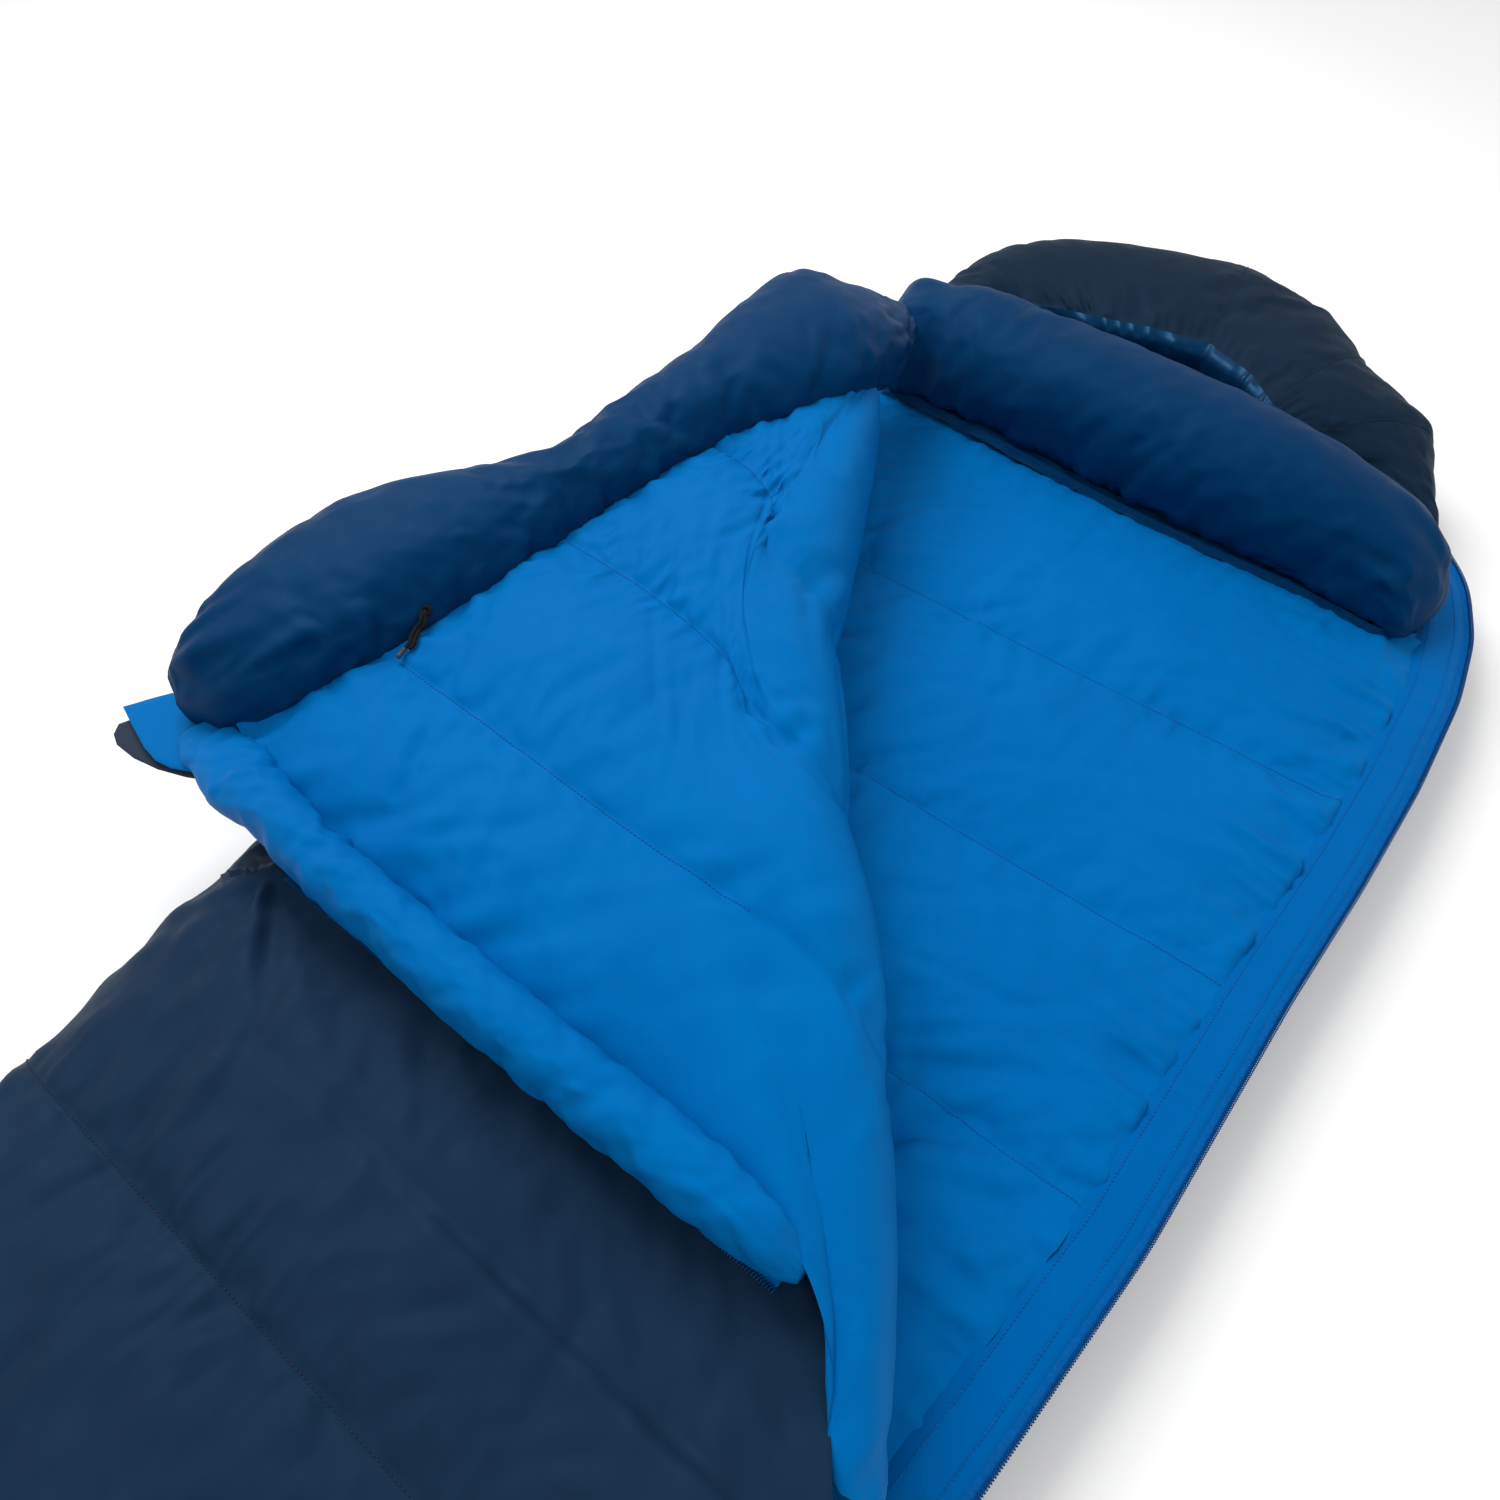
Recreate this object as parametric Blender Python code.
"""Hooded down sleeping bag, its chest quilt turned down along a slanting fold.

Metres, +Z up, +Y towards the hood, +X the zip side. The origin is on the floor, on the bag's
centre line, half way between the foot and the top of the hood.
"""

import math

import bmesh
import bpy
from mathutils import Vector

for old in list(bpy.data.objects):
    bpy.data.objects.remove(old, do_unlink=True)

# ---- driving dimensions -------------------------------------------------------------------
GAP = 0.0003  # between pieces that touch
CLOTH = 0.0015  # thickness given to a layer of nylon
MESH = 0.0008  # thickness given to a baffle wall
CORE = 0.022  # depth of the settled down at the middle of a chamber
ROLL_CORE = 0.62  # the down's share of a roll's half sizes

FOOT_Y = -1.04
NECK_Y = 0.738  # where the bottom quilt meets the hood
# half width of the bag along its length: (y, half width), foot to neck
HALF_WIDTHS = (
    (FOOT_Y, 0.188), (-1.02, 0.220), (-0.98, 0.238), (-0.93, 0.2477), (-0.85, 0.258),
    (-0.33, 0.322), (-0.10, 0.346), (0.20, 0.368), (0.45, 0.373), (0.57, 0.366),
    (0.65, 0.351), (NECK_Y, 0.314),
)

# cross-sections: (height, how far the wall is drawn in)
BOTTOM_WALL = ((0.0, 0.035), (0.018, 0.010), (0.040, 0.0), (0.0535, 0.002))
BOTTOM_LINING_Z = 0.0538
TOP_WALL = ((0.0556, 0.003), (0.072, 0.0), (0.098, 0.0), (0.122, 0.012), (0.138, 0.040))
TOP_LINING_Z = 0.0850
BOTTOM_SEAMS = (-0.76, -0.54, -0.32, -0.10, 0.11, 0.337)
LEG_SEAMS = (-0.905, -0.69, -0.472, -0.26)

# the fold that the chest quilt turns about, from the collar to the closed end of the zip
FOLD_HEAD = Vector((-0.311, 0.433, 0.1393))
FOLD_FOOT = Vector((0.299, -0.372, 0.1393))
FOLD_CLEAR = 0.006  # from the fold's axis to the edge of each quilt
SIDE_TOP_Y = 0.38  # where the side of the chest that stays put ends, under the collars

FLAP_WALL = ((0.1405, 0.020), (0.158, 0.005), (0.178, 0.0), (0.1985, 0.004))
FLAP_SEAMS = (-0.12, 0.06, 0.24)
FLAP_LOW_Y = -0.235
FLAP_HIGH_Y = 0.28
FLAP_STATIONS = (FLAP_LOW_Y, -0.17, -0.10, 0.0, 0.10, 0.20, FLAP_HIGH_Y)

# upper collar: (y, centre x, half width, half height)
UPPER_COLLAR = (
    (0.445, -0.352, 0.030, 0.028), (0.405, -0.340, 0.048, 0.046), (0.35, -0.330, 0.058, 0.058),
    (0.26, -0.326, 0.058, 0.0625), (0.16, -0.326, 0.054, 0.060), (0.08, -0.338, 0.056, 0.058),
    (0.0, -0.360, 0.066, 0.0625), (-0.08, -0.378, 0.078, 0.0625), (-0.16, -0.380, 0.076, 0.060),
    (-0.215, -0.374, 0.056, 0.050),
)
UPPER_COLLAR_BASE_Z = 0.1405
# lower collar: (x, centre y, half width, half height)
LOWER_COLLAR = (
    (-0.325, 0.655, 0.052, 0.045), (-0.27, 0.668, 0.076, 0.058), (-0.15, 0.666, 0.080, 0.060),
    (0.0, 0.655, 0.080, 0.060), (0.15, 0.640, 0.078, 0.058), (0.25, 0.622, 0.072, 0.054),
    (0.320, 0.598, 0.050, 0.040),
)
LOWER_COLLAR_BASE_Z = 0.0557

DRAFT_TUBE_Y = -0.268
DRAFT_TUBE_Z = 0.1765
# draft tube: (x, radius)
DRAFT_TUBE = ((-0.330, 0.026), (-0.30, 0.031), (0.10, 0.031), (0.19, 0.025), (0.235, 0.016))

# hood: its outline on the floor, left to right, with the height and depth of its lip there
HOOD_RING = (
    (-0.335, 0.765, 0.080, 0.010), (-0.345, 0.820, 0.110, 0.030), (-0.330, 0.890, 0.135, 0.080),
    (-0.285, 0.972, 0.150, 0.120), (-0.180, 1.025, 0.150, 0.135), (-0.055, 1.048, 0.150, 0.140),
    (0.065, 1.012, 0.150, 0.130), (0.162, 0.950, 0.145, 0.115), (0.235, 0.875, 0.135, 0.080),
    (0.285, 0.818, 0.110, 0.030), (0.312, 0.765, 0.080, 0.010),
)
HOOD_FRONT_Y = 0.7395
HOOD_FRONT_HALF = 0.20  # half width of the stretch that the hood's ribs start from
HOOD_PAD = 0.27  # depth of the down in the hood, as a share of its height there
HOOD_SLACK = 0.0010  # between the hood's layers, whose ribs are twisted

ZIP_OPEN_Y = -0.405  # where the slider stands
ZIP_FOOT_Y = -0.85
ZIP_MID_Z = 0.070
ZIP_LEG_TOP_Y = -0.412
ZIP_OUT = 0.0038  # from the quilt's edge to the zip tape
TAPE = 0.0010
COIL_HALF = 0.0012
COIL_PROUD = 0.0010

# collar drawcord: it leaves the collar's seam and lies on the lining
DRAWCORD_ROUTE = (
    (-0.2935, -0.0600, 0.2120), (-0.2930, -0.0650, 0.2080), (-0.2925, -0.0700, 0.2050),
    (-0.2920, -0.0760, 0.2032), (-0.2915, -0.0830, 0.2026), (-0.2908, -0.0900, 0.2024),
    (-0.2900, -0.0980, 0.2024), (-0.2890, -0.1060, 0.2024), (-0.2880, -0.1130, 0.2024),
)
DRAWCORD_DIAMETER = 0.0036


# ---- materials ----------------------------------------------------------------------------
def principled(name, colour, roughness, metallic=0.0):
    material = bpy.data.materials.new(name)
    material.use_nodes = True
    shader = material.node_tree.nodes["Principled BSDF"]
    shader.inputs["Base Color"].default_value = (*colour, 1.0)
    shader.inputs["Roughness"].default_value = roughness
    shader.inputs["Metallic"].default_value = metallic
    material.diffuse_color = (*colour, 1.0)
    return material


SHELL = principled("shell_nylon", (0.012, 0.028, 0.065), 0.55)
COLLAR = principled("collar_nylon", (0.004, 0.038, 0.127), 0.45)
LINING = principled("lining_nylon", (0.0, 0.155, 0.54), 0.5)
HOOD_LINING = principled("hood_lining_satin", (0.0, 0.032, 0.127), 0.4)
DOWN = principled("down", (0.80, 0.79, 0.76), 0.95)
BAFFLE = principled("baffle_mesh", (0.70, 0.70, 0.70), 0.9)
TAPE_CLOTH = principled("zip_tape", (0.0, 0.09, 0.32), 0.7)
COIL = principled("zip_coil", (0.0, 0.045, 0.17), 0.35)
METAL = principled("slider_metal", (0.03, 0.03, 0.035), 0.35, 0.8)
PULL = principled("pull_cord_rubber", (0.015, 0.015, 0.018), 0.6)
CORD = principled("cord", (0.01, 0.01, 0.012), 0.8)
TIP = principled("cord_tip", (0.10, 0.10, 0.11), 0.4)


# ---- mesh helpers -------------------------------------------------------------------------
def add_object(name, bm, material, angle=35.0):
    bmesh.ops.recalc_face_normals(bm, faces=bm.faces)
    mesh = bpy.data.meshes.new(name)
    bm.to_mesh(mesh)
    bm.free()
    mesh.materials.append(material)
    mesh.shade_smooth()
    mesh.set_sharp_from_angle(angle=math.radians(angle))
    obj = bpy.data.objects.new(name, mesh)
    bpy.context.collection.objects.link(obj)
    return obj


def skin(name, loops, material, closed=False, split_at=None):
    """One closed body through loops of equal length: capped at both ends, or joined in a ring.

    With split_at, each side face is two triangles, whose diagonal turns over from that point of
    the loops on, so that the two faces of a layer, and of its neighbours, are split alike.
    """
    bm = bmesh.new()
    rings = [[bm.verts.new(point) for point in loop] for loop in loops]
    count = len(rings[0])
    pairs = list(zip(rings, rings[1:]))
    if closed:
        pairs.append((rings[-1], rings[0]))
    for low, high in pairs:
        for i in range(count):
            j = (i + 1) % count
            if split_at is None:
                bm.faces.new((low[i], low[j], high[j], high[i]))
            elif i < split_at:
                bm.faces.new((low[i], low[j], high[j]))
                bm.faces.new((low[i], high[j], high[i]))
            else:
                bm.faces.new((low[i], low[j], high[i]))
                bm.faces.new((low[j], high[j], high[i]))
    if not closed:
        bm.faces.new(list(reversed(rings[0])))
        bm.faces.new(rings[-1])
    return add_object(name, bm, material)


def interpolate(table, x):
    """The values of a table of (x, values...) at x, on straight lines between its rows."""
    rows = sorted(table)
    if x <= rows[0][0]:
        return rows[0][1:]
    for low, high in zip(rows, rows[1:]):
        if x <= high[0]:
            t = (x - low[0]) / (high[0] - low[0])
            return tuple(a + t * (b - a) for a, b in zip(low[1:], high[1:]))
    return rows[-1][1:]


def half_width(y):
    return interpolate(HALF_WIDTHS, y)[0]


def fold_x(y):
    """Where the fold's axis is at that y."""
    t = (y - FOLD_HEAD.y) / (FOLD_FOOT.y - FOLD_HEAD.y)
    return FOLD_HEAD.x + t * (FOLD_FOOT.x - FOLD_HEAD.x)


FOLD_RUN = (FOLD_FOOT - FOLD_HEAD).normalized()
FOLD_SLANT = 1.0 / abs(FOLD_RUN.y)  # a distance square to the fold, measured along x


# ---- outlines of the three quilts: (left x, right x) at y -----------------------------------
def bottom_sides(y):
    return -half_width(y), half_width(y)


def top_sides(y):
    return -half_width(y), min(half_width(y), fold_x(y) - FOLD_SLANT * FOLD_CLEAR)


def flap_sides(y):
    centre, half, _ = interpolate(UPPER_COLLAR, y)
    return centre + half + 2 * GAP, fold_x(y) - FOLD_SLANT * FOLD_CLEAR


def drawn_in(corners, distance):
    """A polygon, anticlockwise, with each side moved inwards by a distance."""
    moved = []
    for i, here in enumerate(corners):
        before = (here - corners[i - 1]).normalized()
        after = (corners[(i + 1) % len(corners)] - here).normalized()
        inward = Vector((-before.y, before.x))
        middle = (inward + Vector((-after.y, after.x))).normalized()
        moved.append(here + middle * (distance / middle.dot(inward)))
    return moved


def chains(sides, stations, distance):
    """The right and left sides of a quilt's outline, foot to head, drawn in by a distance."""
    right = [Vector((sides(y)[1], y)) for y in stations]
    left = [Vector((sides(y)[0], y)) for y in stations]
    moved = drawn_in(right + left[::-1], distance)
    count = len(stations)
    return moved[:count], moved[:count - 1:-1]


def outline(sides, stations, z, distance):
    """The loop round a quilt at height z, drawn in by a distance."""
    right, left = chains(sides, stations, distance)
    return [(p.x, p.y, z) for p in right + left[::-1]]


def part_outline(sides, stations, z, distance, low, high):
    """The part of that loop between two cuts across the quilt; None is the quilt's own end."""
    both = []
    for chain in chains(sides, stations, distance):
        table = [(p.y, p.x) for p in chain]
        kept = [
            (p.x, p.y) for p, y in zip(chain, stations)
            if (low is None or y > low + 0.004) and (high is None or y < high - 0.004)
        ]
        if low is not None:
            kept.insert(0, (interpolate(table, low)[0], low))
        if high is not None:
            kept.append((interpolate(table, high)[0], high))
        both.append(kept)
    return [(x, y, z) for x, y in both[0] + both[1][::-1]]


def wall_inset(wall, z):
    return interpolate(wall, z)[0]


def tray(name, sides, stations, wall, floor_first, material):
    """A cloth shell: a floor and walls, open on the side away from the floor."""
    step = CLOTH if floor_first else -CLOTH
    order = wall if floor_first else wall[::-1]
    outer = [outline(sides, stations, z, e) for z, e in order]
    heights = [order[0][0] + step] + [z for z, _ in order[1:]]
    inner = [outline(sides, stations, z, wall_inset(wall, z) + CLOTH) for z in heights]
    return skin(name, outer + inner[::-1], material)


def sheet(name, sides, stations, z, inset, material):
    return skin(name, [outline(sides, stations, z + h, inset) for h in (0.0, CLOTH)], material)


def chambers(prefix, sides, stations, wall, seams, z_range, names=None):
    """Down between the seams, one body for each, and the baffle walls that keep them apart."""
    low_z, high_z = z_range
    heights = [low_z] + [z for z, _ in wall if low_z < z < high_z] + [high_z]
    middle = (low_z + high_z) / 2
    core = (middle - CORE / 2, middle + CORE / 2)
    edges = [None, *seams, None]
    half_wall = MESH / 2 + GAP

    def body(name, low, high, levels, material):
        slack = CLOTH + 3 * GAP
        loops = [
            part_outline(sides, stations, z, wall_inset(wall, z) + slack, low, high) for z in levels
        ]
        skin(name, loops, material)

    for number, (low, high) in enumerate(zip(edges, edges[1:]), 1):
        low = None if low is None else low + half_wall
        high = None if high is None else high - half_wall
        body(names[number - 1] if names else f"{prefix}_down_{number}", low, high, core, DOWN)
    for number, seam in enumerate(seams, 1):
        body(f"{prefix}_baffle_{number}", seam - MESH / 2, seam + MESH / 2, heights, BAFFLE)


# ---- quilts -------------------------------------------------------------------------------
def bottom_quilt():
    stations = [y for y, _ in HALF_WIDTHS]
    tray("bottom_shell", bottom_sides, stations, BOTTOM_WALL, True, SHELL)
    inset = wall_inset(BOTTOM_WALL, BOTTOM_LINING_Z) + CLOTH + 2 * GAP
    sheet("bottom_lining", bottom_sides, stations, BOTTOM_LINING_Z, inset, LINING)
    heights = (CLOTH + GAP, BOTTOM_LINING_Z - GAP)
    chambers("bottom", bottom_sides, stations, BOTTOM_WALL, BOTTOM_SEAMS, heights)


def leg_quilt():
    stations = [y for y, _ in HALF_WIDTHS if y < -0.33]
    stations += [-0.401, -0.33, -0.20, -0.10, 0.06, 0.20, 0.30, SIDE_TOP_Y]
    tray("leg_shell", top_sides, stations, TOP_WALL, False, SHELL)
    inset = wall_inset(TOP_WALL, TOP_LINING_Z) + CLOTH + 2 * GAP
    sheet("leg_lining", top_sides, stations, TOP_LINING_Z, inset, LINING)
    heights = (TOP_LINING_Z + CLOTH + GAP, TOP_WALL[-1][0] - CLOTH - GAP)
    names = [f"leg_down_{n}" for n in range(1, len(LEG_SEAMS) + 1)] + ["chest_side_down"]
    chambers("leg", top_sides, stations, TOP_WALL, LEG_SEAMS, heights, names)


def flap_quilt():
    tray("flap_shell", flap_sides, FLAP_STATIONS, FLAP_WALL, True, SHELL)
    top = FLAP_WALL[-1]
    sheet("flap_lining", flap_sides, FLAP_STATIONS, top[0] + GAP, top[1], LINING)
    heights = (FLAP_WALL[0][0] + CLOTH + GAP, top[0])
    chambers("flap", flap_sides, FLAP_STATIONS, FLAP_WALL, FLAP_SEAMS, heights)


# ---- collars and draft tube -----------------------------------------------------------------
def ellipse(centre, across, half_across, half_up, count=20):
    """A loop round a roll: across is the level direction square to it."""
    points = []
    for k in range(count):
        turn = 2 * math.pi * k / count
        side = across * (half_across * math.cos(turn))
        points.append(centre + side + Vector((0, 0, half_up * math.sin(turn))))
    return points


def roll(name, rows, material):
    """A cloth tube with open ends round a body of down; rows are (centre, across, half sizes)."""
    outer = [ellipse(c, d, a, b) for c, d, a, b in rows]
    inner = [ellipse(c, d, a - CLOTH, b - CLOTH) for c, d, a, b in rows]
    skin(f"{name}_shell", outer + inner[::-1], material, closed=True)
    skin(f"{name}_down", [ellipse(c, d, a * ROLL_CORE, b * ROLL_CORE) for c, d, a, b in rows], DOWN)


def upper_collar():
    rows = []
    for y, x, half, up in UPPER_COLLAR:
        rows.append((Vector((x, y, UPPER_COLLAR_BASE_Z + up)), Vector((1, 0, 0)), half, up))
    roll("upper_collar", rows, COLLAR)


def lower_collar():
    rows = []
    for x, y, half, up in LOWER_COLLAR:
        rows.append((Vector((x, y, LOWER_COLLAR_BASE_Z + up)), Vector((0, 1, 0)), half, up))
    roll("lower_collar", rows, COLLAR)


def draft_tube():
    rows = []
    for x, radius in DRAFT_TUBE:
        rows.append((Vector((x, DRAFT_TUBE_Y, DRAFT_TUBE_Z)), Vector((0, 1, 0)), radius, radius))
    roll("draft_tube", rows, LINING)


# ---- hood ---------------------------------------------------------------------------------
def shifted(profile, distance):
    """A profile moved to its left by a distance, corner by corner."""
    moved = []
    for i, (r, z) in enumerate(profile):
        before = Vector(profile[max(i - 1, 0)])
        after = Vector(profile[min(i + 1, len(profile) - 1)])
        here = Vector((r, z))
        one = (here - before).normalized() if i else (after - here).normalized()
        two = (after - here).normalized() if i < len(profile) - 1 else one
        left_one = Vector((-one.y, one.x))
        left_two = Vector((-two.y, two.x))
        middle = (left_one + left_two).normalized()
        moved.append(here + middle * (distance / max(middle.dot(left_one), 0.5)))
    return moved


def hood_profile(reach, height, lip):
    """Floor, side and lip of the hood: (distance from the front, z), outside face."""
    bend = min(0.060, 0.45 * reach)
    corner = 0.23 * bend
    return [
        (0.0, 0.0), ((reach - bend) * 0.5, 0.0), (reach - bend, 0.0), (reach - corner, 0.13 * height),
        (reach, 0.45 * height), (reach - corner, 0.85 * height), (reach - bend, height),
        (reach - bend - lip, 0.97 * height),
    ]


def hood_layer(name, depths, material):
    """A layer of the hood; depths gives how far its two faces are in, from the hood's height."""
    ribs = len(HOOD_RING)
    loops = []
    for i, (x, y, height, lip) in enumerate(HOOD_RING):
        start = Vector((HOOD_FRONT_HALF * (2 * i / (ribs - 1) - 1), HOOD_FRONT_Y, 0.0))
        way = Vector((x, y, 0.0)) - start
        reach = way.length
        way.normalize()
        profile = hood_profile(reach, height, lip)
        near, far = depths(height)
        outside = shifted(profile, near)
        inside = shifted(profile, far)
        loop = [start + way * r + Vector((0, 0, z)) for r, z in outside + inside[::-1]]
        loops.append(loop)
    return skin(name, loops, material, split_at=len(loops[0]) // 2)


def hood():
    def lining_depths(height):
        near = HOOD_PAD * height + HOOD_SLACK
        return near, near + CLOTH

    hood_layer("hood_shell", lambda height: (0.0, CLOTH), SHELL)
    hood_layer("hood_down", lambda height: (0.07 * height, 0.21 * height), DOWN)
    hood_layer("hood_lining", lining_depths, HOOD_LINING)


# ---- zip ----------------------------------------------------------------------------------
def along_edge(name, section, stations, material, mirror_z=False):
    """A strip along the zip side of the bag; section is (out from the edge, height) points."""
    loops = []
    for y in stations:
        points = []
        for out, z in section:
            height = 2 * ZIP_MID_Z - z if mirror_z else z
            points.append((half_width(y) + out, y, height))
        loops.append(points)
    return skin(name, loops, material)


def zip_sections():
    tape_low = ZIP_MID_Z - 0.024
    tape_high = ZIP_MID_Z - 2 * COIL_HALF - 0.0008 - GAP
    flange = [
        (GAP, tape_low), (ZIP_OUT + TAPE, tape_low), (ZIP_OUT + TAPE, tape_high),
        (ZIP_OUT, tape_high), (ZIP_OUT, tape_low + TAPE), (GAP, tape_low + TAPE),
    ]
    coil_high = ZIP_MID_Z - 0.0008
    coil_low = coil_high - 2 * COIL_HALF
    out_low, out_high = ZIP_OUT - COIL_PROUD, ZIP_OUT + TAPE + COIL_PROUD
    coil = [(out_low, coil_low), (out_high, coil_low), (out_high, coil_high), (out_low, coil_high)]
    return flange, coil


def side_zip():
    tape, coil = zip_sections()
    whole = [ZIP_FOOT_Y] + [y for y, _ in HALF_WIDTHS if ZIP_FOOT_Y < y]
    legs = (ZIP_FOOT_Y, ZIP_LEG_TOP_Y)
    along_edge("bottom_zip_tape", tape, whole, TAPE_CLOTH)
    along_edge("bottom_zip_coil", coil, whole, COIL)
    along_edge("leg_zip_tape", tape, legs, TAPE_CLOTH, mirror_z=True)
    along_edge("leg_zip_coil", coil, legs, COIL, mirror_z=True)


def flap_zip():
    """The chest quilt's half of the zip, tucked under the draft tube."""
    x0, x1 = -0.325, 0.235
    floor = 0.1412
    box("flap_zip_tape", (x0, -0.2900, floor), (x1, -0.2640, floor + TAPE), TAPE_CLOTH)
    box("flap_zip_coil", (x0, -0.2930, floor - 0.0005), (x1, -0.2903, floor + 0.0015), COIL)


def box(name, low, high, material):
    (x0, y0, z0), (x1, y1, z1) = low, high
    corners = ((x0, y0), (x1, y0), (x1, y1), (x0, y1))
    return skin(name, [[(x, y, z) for x, y in corners] for z in (z0, z1)], material)


def anti_snag_tape():
    """The stiff tape stitched to the lining beside the open zip."""
    lining_top = BOTTOM_LINING_Z + CLOTH
    stations = [-0.24] + [y for y, _ in HALF_WIDTHS if -0.24 < y < 0.56]
    loops = []
    low, high = lining_top + GAP, lining_top + GAP + 0.0010
    for y in stations:
        near, far = half_width(y) - 0.045, half_width(y) - 0.020
        loops.append([(near, y, low), (far, y, low), (far, y, high), (near, y, high)])
    return skin("anti_snag_tape", loops, TAPE_CLOTH)


# ---- zip slider and pull --------------------------------------------------------------------
# along the closed zip, towards the head
ZIP_RUN = Vector((half_width(-0.33) - half_width(-0.85), 0.52, 0.0)).normalized()
ZIP_OUTWARD = Vector((ZIP_RUN.y, -ZIP_RUN.x, 0.0))


def slider_point(along, out, z):
    """A point in the slider's own directions: along the zip, out from the quilt, up."""
    edge = Vector((half_width(ZIP_OPEN_Y), ZIP_OPEN_Y, 0.0))
    return edge + ZIP_RUN * along + ZIP_OUTWARD * out + Vector((0, 0, z))


def slider_block(name, low, high, material):
    """A block in the slider's own directions."""
    loops = []
    for z in (low[2], high[2]):
        corners = ((low[0], low[1]), (high[0], low[1]), (high[0], high[1]), (low[0], high[1]))
        loops.append([slider_point(a, o, z) for a, o in corners])
    return skin(name, loops, material)


SLIDER_HALF = 0.0065
SLIDER_HIGH = 0.0055
PLATE = 0.0012
INNER_PLATE_OUT = 0.0008
OUTER_PLATE_OUT = ZIP_OUT + TAPE + COIL_PROUD + 0.0006
POST_HALF_UP = 0.0005
PULL_PIN_OUT = OUTER_PLATE_OUT + PLATE + 0.0020


def zip_slider():
    """Two plates joined by a post between the coils, with a bail for the pull on the outside."""
    z0, z1 = ZIP_MID_Z - SLIDER_HIGH, ZIP_MID_Z + SLIDER_HIGH
    post_z0, post_z1 = ZIP_MID_Z - POST_HALF_UP, ZIP_MID_Z + POST_HALF_UP
    bodies = [
        slider_block("zip_slider", (-SLIDER_HALF, INNER_PLATE_OUT, z0),
                     (SLIDER_HALF, INNER_PLATE_OUT + PLATE, z1), METAL),
        slider_block("slider_outer_plate", (-SLIDER_HALF, OUTER_PLATE_OUT, z0),
                     (SLIDER_HALF, OUTER_PLATE_OUT + PLATE, z1), METAL),
        slider_block("slider_post", (SLIDER_HALF - 0.004, INNER_PLATE_OUT + 0.0004, post_z0),
                     (SLIDER_HALF - 0.001, OUTER_PLATE_OUT + 0.0008, post_z1), METAL),
    ]
    top = OUTER_PLATE_OUT + PLATE
    for side, number in ((-1, 1), (1, 2)):
        near, far = sorted((side * 0.0032, side * 0.0045))
        bodies.append(slider_block(
            f"slider_ear_{number}", (-0.0015, top - 0.0004, ZIP_MID_Z + near),
            (0.0015, top + 0.0032, ZIP_MID_Z + far), METAL))
    body = bodies[0]
    for other in bodies[1:]:
        union = body.modifiers.new(other.name, "BOOLEAN")
        union.operation = "UNION"
        union.solver = "EXACT"
        union.object = other
        other.hide_render = True
        other.display_type = "WIRE"
    return body


def zip_pull():
    """The pull tab: a ring end between the slider's ears and a moulded tail, hanging down the zip."""
    eye_half, thick = 0.0024, 0.0011
    outline_points = [
        (0.0014, -eye_half), (0.0014, eye_half), (-0.0060, eye_half), (-0.0100, 0.0045),
        (-0.0300, 0.0050), (-0.0340, 0.0030), (-0.0340, -0.0030), (-0.0300, -0.0050),
        (-0.0100, -0.0045), (-0.0060, -eye_half),
    ]
    loops = []
    for out in (PULL_PIN_OUT - thick, PULL_PIN_OUT + thick):
        loops.append([slider_point(a, out, ZIP_MID_Z + u) for a, u in outline_points])
    body = skin("zip_pull", loops, PULL)
    axis_point = slider_point(0.0, PULL_PIN_OUT, ZIP_MID_Z)
    for vertex in body.data.vertices:
        vertex.co -= axis_point
    body.location = axis_point
    return body


# ---- neck tab, drawcord -----------------------------------------------------------------------
TAB_HINGE_X = -0.345
TAB_Y = -0.260
TAB_Z = 0.1500


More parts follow.
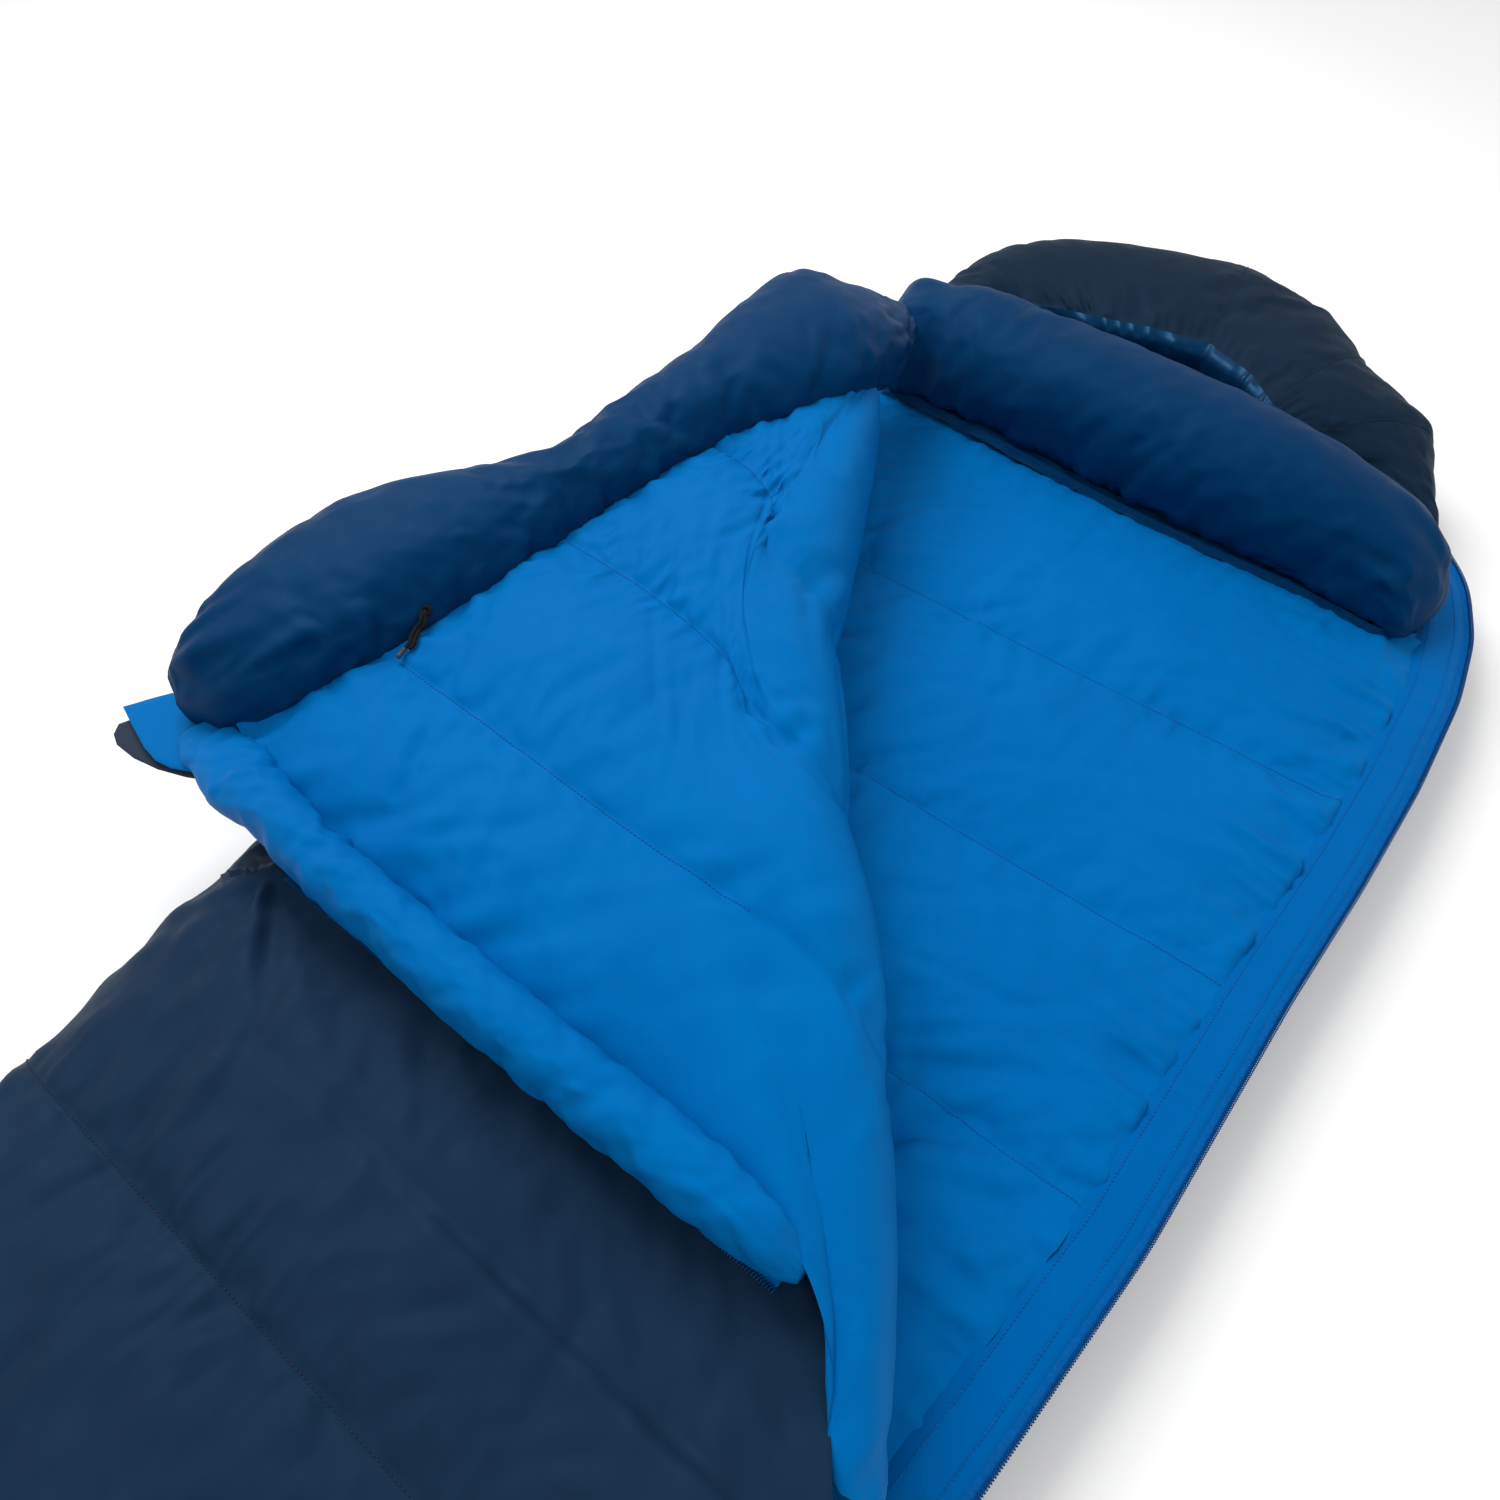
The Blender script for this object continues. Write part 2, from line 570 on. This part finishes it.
def neck_tab():
    """The hook-and-loop tab at the top corner of the chest quilt."""
    outline_points = (
        (0.0, -0.020), (0.0, 0.020), (-0.050, 0.024), (-0.085, 0.010), (-0.085, -0.010),
        (-0.045, -0.024),
    )
    for name, low, high, material in (
        ("neck_tab", 0.0, 0.0020, LINING),
        ("neck_tab_hook_patch", -0.0018, -GAP, SHELL),
    ):
        shrink = 1.0 if name == "neck_tab" else 0.8
        loops = []
        for z in (low, high):
            loops.append([
                (TAB_HINGE_X + a * shrink - (1 - shrink) * 0.02, TAB_Y + b * shrink, TAB_Z + z)
                for a, b in outline_points
            ])
        skin(name, loops, material)


def smooth_route(points, spacing):
    """Points at even spacing on a smooth curve through the given ones."""
    control = [Vector(p) for p in points]
    control = [2 * control[0] - control[1], *control, 2 * control[-1] - control[-2]]
    dense = []
    for i in range(1, len(control) - 2):
        a, b, c, d = control[i - 1:i + 3]
        for k in range(24):
            t = k / 24
            dense.append(0.5 * (2 * b + (c - a) * t + (2 * a - 5 * b + 4 * c - d) * t**2
                                + (3 * b - a - 3 * c + d) * t**3))
    dense.append(control[-2])
    total = sum((q - p).length for p, q in zip(dense, dense[1:]))
    count = max(2, round(total / spacing))
    even, walked, target = [dense[0]], 0.0, total / count
    for p, q in zip(dense, dense[1:]):
        step = (q - p).length
        while step > 0 and walked + step >= target - 1e-9 and len(even) < count:
            even.append(p.lerp(q, (target - walked) / step))
            target += total / count
        walked += step
    even.append(dense[-1])
    return even


def drawcord():
    curve = bpy.data.curves.new("collar_drawcord", "CURVE")
    curve.dimensions = "3D"
    curve.bevel_depth = DRAWCORD_DIAMETER / 2
    curve.bevel_resolution = 2
    curve.use_fill_caps = True
    spline = curve.splines.new("POLY")
    route = smooth_route(DRAWCORD_ROUTE, 2 * DRAWCORD_DIAMETER)
    spline.points.add(len(route) - 1)
    for point, place in zip(spline.points, route):
        point.co = (*place, 1.0)
    curve.materials.append(CORD)
    cord = bpy.data.objects.new("collar_drawcord", curve)
    bpy.context.collection.objects.link(cord)

    end = Vector(DRAWCORD_ROUTE[-1])
    way = (end - Vector(DRAWCORD_ROUTE[-2])).normalized()
    across = Vector((way.y, -way.x, 0.0))
    radius = 0.0021
    loops = []
    for distance in (GAP, 0.010):
        loops.append([end + way * distance + (p - end) for p in ellipse(end, across, radius, radius, 12)])
    skin("drawcord_tip", loops, TIP)


bottom_quilt()
leg_quilt()
flap_quilt()
upper_collar()
lower_collar()
draft_tube()
hood()
side_zip()
flap_zip()
anti_snag_tape()
zip_slider()
zip_pull()
neck_tab()
drawcord()
